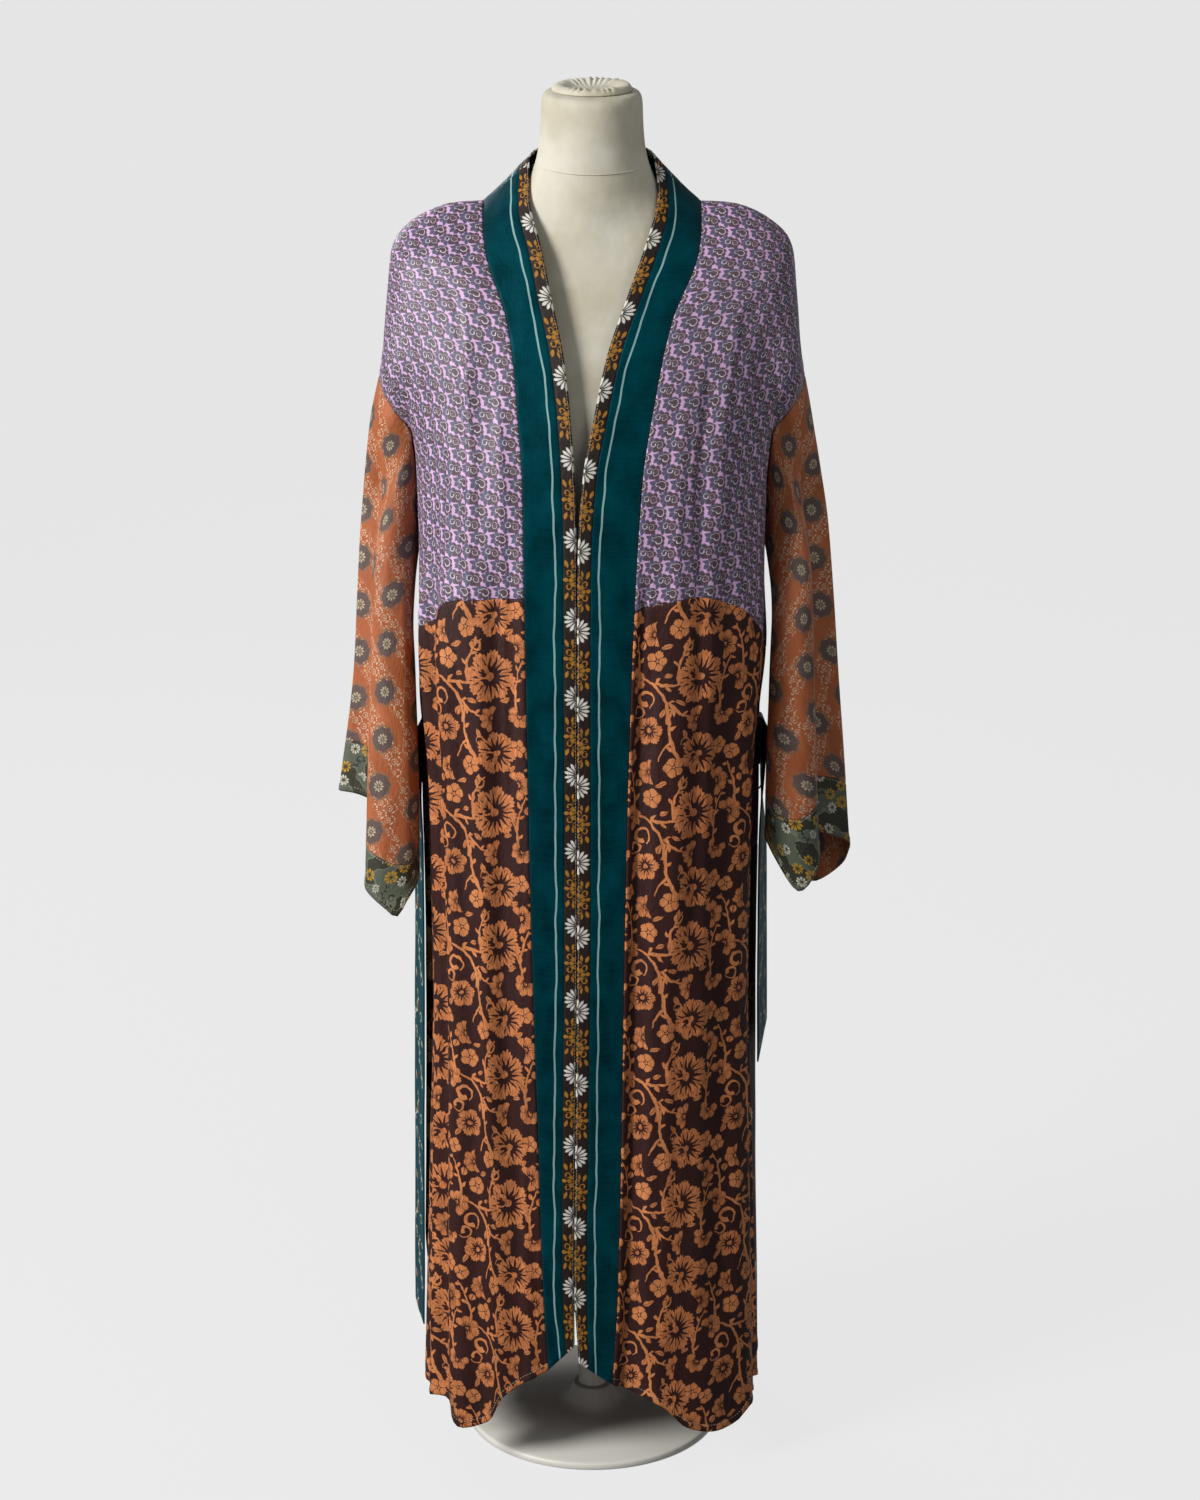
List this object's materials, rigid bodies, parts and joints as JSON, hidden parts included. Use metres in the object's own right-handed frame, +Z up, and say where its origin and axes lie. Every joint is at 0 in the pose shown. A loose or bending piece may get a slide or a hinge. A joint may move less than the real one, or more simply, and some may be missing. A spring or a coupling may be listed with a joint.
{
  "type": "kimono robe on a limbless dress form",
  "caption": "Long open-fronted kimono robe pieced from printed silks, with wide sleeves, a contrast front band and a sash at the back, worn by a dress form on a stand.",
  "frame": {"origin": "centre of the stand's base plate, at its underside", "axes": "+Z up, -Y towards the front of the robe, +X towards the wearer's left arm"},
  "size_m": [0.5423, 0.2948, 1.4563],
  "materials": {
    "lilac_silk": "soft printed silk, lilac ground with small sprigs",
    "brown_silk": "printed silk, dark brown ground with rust flowers",
    "teal_satin": "satin sheen, plain teal with one fine pale stripe",
    "dark_edging": "woven print, dark brown with pale fans",
    "rust_silk": "printed silk, rust ground with grey-brown medallions",
    "green_silk": "printed silk, grey-green ground with small flowers",
    "crimson_silk": "printed silk, crimson and purple small print",
    "cream_flower_silk": "printed silk, dark brown ground with large cream flowers",
    "sash_silk": "printed silk, teal ground with cream flourishes",
    "thread": "matte twisted thread",
    "jersey": "matte ivory jersey",
    "painted_steel": "semi-matt off-white paint"
  },
  "bodies": {
    "root": {"front_left_upper": "lilac_silk", "front_left_lower": "brown_silk", "band_left": "teal_satin", "edging_left": "dark_edging", "sleeve_left": "rust_silk", "cuff_left": "green_silk", "front_right_upper": "lilac_silk", "front_right_lower": "brown_silk", "band_right": "teal_satin", "edging_right": "dark_edging", "sleeve_right": "rust_silk", "cuff_right": "green_silk", "back_upper": "crimson_silk", "back_lower": "cream_flower_silk", "band_neck": "teal_satin", "edging_neck": "dark_edging", "sash_back": "sash_silk", "sash_left": "sash_silk", "belt_loop_left": "thread", "sash_right": "sash_silk", "belt_loop_right": "thread", "form_body": "jersey", "neck_cap": "jersey", "pole_collar": "painted_steel", "pole": "painted_steel", "base_plate": "painted_steel"}
  },
  "joints": []
}
